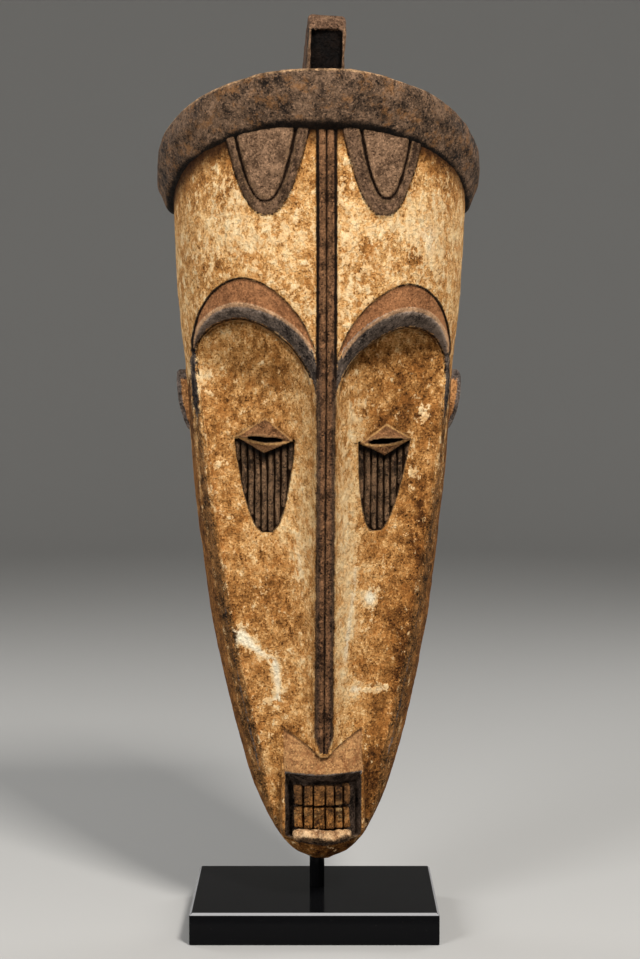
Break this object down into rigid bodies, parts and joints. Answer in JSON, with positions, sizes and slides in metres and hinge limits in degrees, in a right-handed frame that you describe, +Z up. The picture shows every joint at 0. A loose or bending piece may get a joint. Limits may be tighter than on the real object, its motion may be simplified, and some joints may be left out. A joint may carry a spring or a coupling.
{
  "type": "fang mask",
  "caption": "Tall carved wooden face mask, hollow at the back, with deep brows, slit eyes, a boxed mouth, a heavy brim and a crest, held by a post on a flat plate.",
  "frame": {"origin": "middle of the plate's underside", "axes": "+Z up, the mask looks along -Y and is turned 3.2 degrees towards +X, +X to the viewer's right"},
  "size_m": [0.2646, 0.19, 0.7378],
  "materials": {
    "carved_wood": "matt, old wood with worn white clay over ochre, and dark stained bands",
    "black_metal": "gloss black"
  },
  "bodies": {
    "root": {"mask": "carved_wood", "post": "black_metal", "base_plate": "black_metal"}
  },
  "joints": []
}
